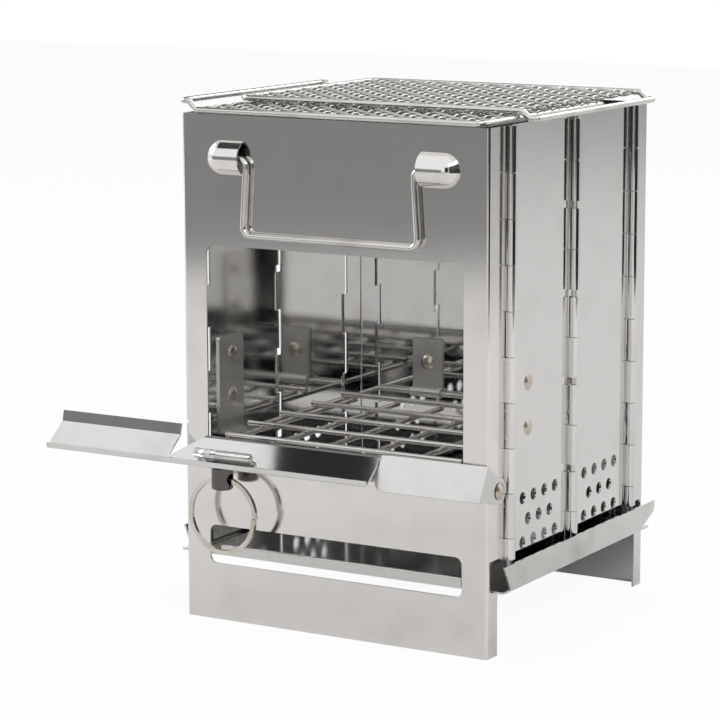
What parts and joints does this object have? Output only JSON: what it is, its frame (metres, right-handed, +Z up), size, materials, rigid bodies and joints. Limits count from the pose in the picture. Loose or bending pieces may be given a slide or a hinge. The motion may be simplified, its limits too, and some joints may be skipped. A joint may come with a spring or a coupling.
{
  "type": "folding camping stove",
  "caption": "Upright folding wood stove of stainless sheet with hinged sides, wire fire grate, wire grills on top, bail, feed flap with side arm and base tray.",
  "frame": {"origin": "on the ground at the front panel's lower edge, midway between the sides", "axes": "+X to the right across the front, +Y from the front to the back, +Z up"},
  "size_m": [0.2049, 0.1564, 0.2131],
  "materials": {
    "polished_sheet": "mirror-polished stainless sheet",
    "leaf_sheet": "satin stainless sheet",
    "brushed_sheet": "fine brushed stainless sheet",
    "tray_sheet": "plain stainless sheet",
    "wire": "bright drawn stainless wire",
    "mesh_wire": "crimped stainless wire",
    "rivet_steel": "heat-tinted stainless",
    "dark_steel": "polished turned steel",
    "ring_nickel": "nickel-plated spring steel"
  },
  "bodies": {
    "shell": {"front_panel": "polished_sheet", "rear_panel": "polished_sheet", "right_front_leaf": "leaf_sheet", "right_rear_leaf": "leaf_sheet", "left_front_leaf": "leaf_sheet", "left_rear_leaf": "leaf_sheet", "left_front_hinge_pin": "wire", "left_middle_hinge_pin": "wire", "left_rear_hinge_pin": "wire", "right_front_hinge_pin": "wire", "right_middle_hinge_pin": "wire", "right_rear_hinge_pin": "wire", "base_tray": "tray_sheet", "left_grate_strap": "tray_sheet", "right_grate_strap": "tray_sheet", "strap_rivets": "rivet_steel", "left_grate_bracket": "tray_sheet", "right_grate_bracket": "tray_sheet", "bracket_rivets": "rivet_steel", "flap_rivet": "rivet_steel"},
    "bail": {"bail_handle": "wire"},
    "handle": {"feed_flap": "brushed_sheet", "handle_arm": "polished_sheet", "pull_stud": "dark_steel", "arm_screw": "wire"},
    "ring": {"split_ring": "ring_nickel"},
    "grate": {"fire_grate": "wire"},
    "lower_grill": {"lower_grill_frame": "wire", "lower_grill_mesh": "mesh_wire"},
    "upper_grill": {"upper_grill_frame": "wire", "upper_grill_mesh": "mesh_wire"}
  },
  "joints": [
    {"name": "bail_swing", "type": "hinge", "parent": "shell", "child": "bail", "pos_m": [0, -0.0022, 0.19], "axis": [-1, 0, 0], "range_deg": [0, 150]},
    {"name": "handle_turn", "type": "hinge", "parent": "shell", "child": "handle", "pos_m": [0.0707, 0.007, 0.066], "axis": [1, 0, 0], "range_deg": [0, 12]},
    {"name": "ring_swing", "type": "hinge", "parent": "handle", "child": "ring", "pos_m": [-0.046, -0.0096, 0.0616], "axis": [-1, 0, 0], "range_deg": [0, 80]},
    {"name": "grate_tilt", "type": "hinge", "parent": "shell", "child": "grate", "pos_m": [0, 0.13717, 0.07395], "axis": [-1, 0, 0], "range_deg": [0, 85]},
    {"name": "upper_grill_lift", "type": "slide", "parent": "shell", "child": "upper_grill", "axis": [0, 0, 1], "range_m": [0, 0.06]},
    {"name": "lower_grill_lift", "type": "slide", "parent": "shell", "child": "lower_grill", "axis": [0, 0, 1], "range_m": [0, 0.03]}
  ],
  "couplings": [
    {"joint": "lower_grill_lift", "follows": "upper_grill_lift", "ratio": 0.5}
  ]
}
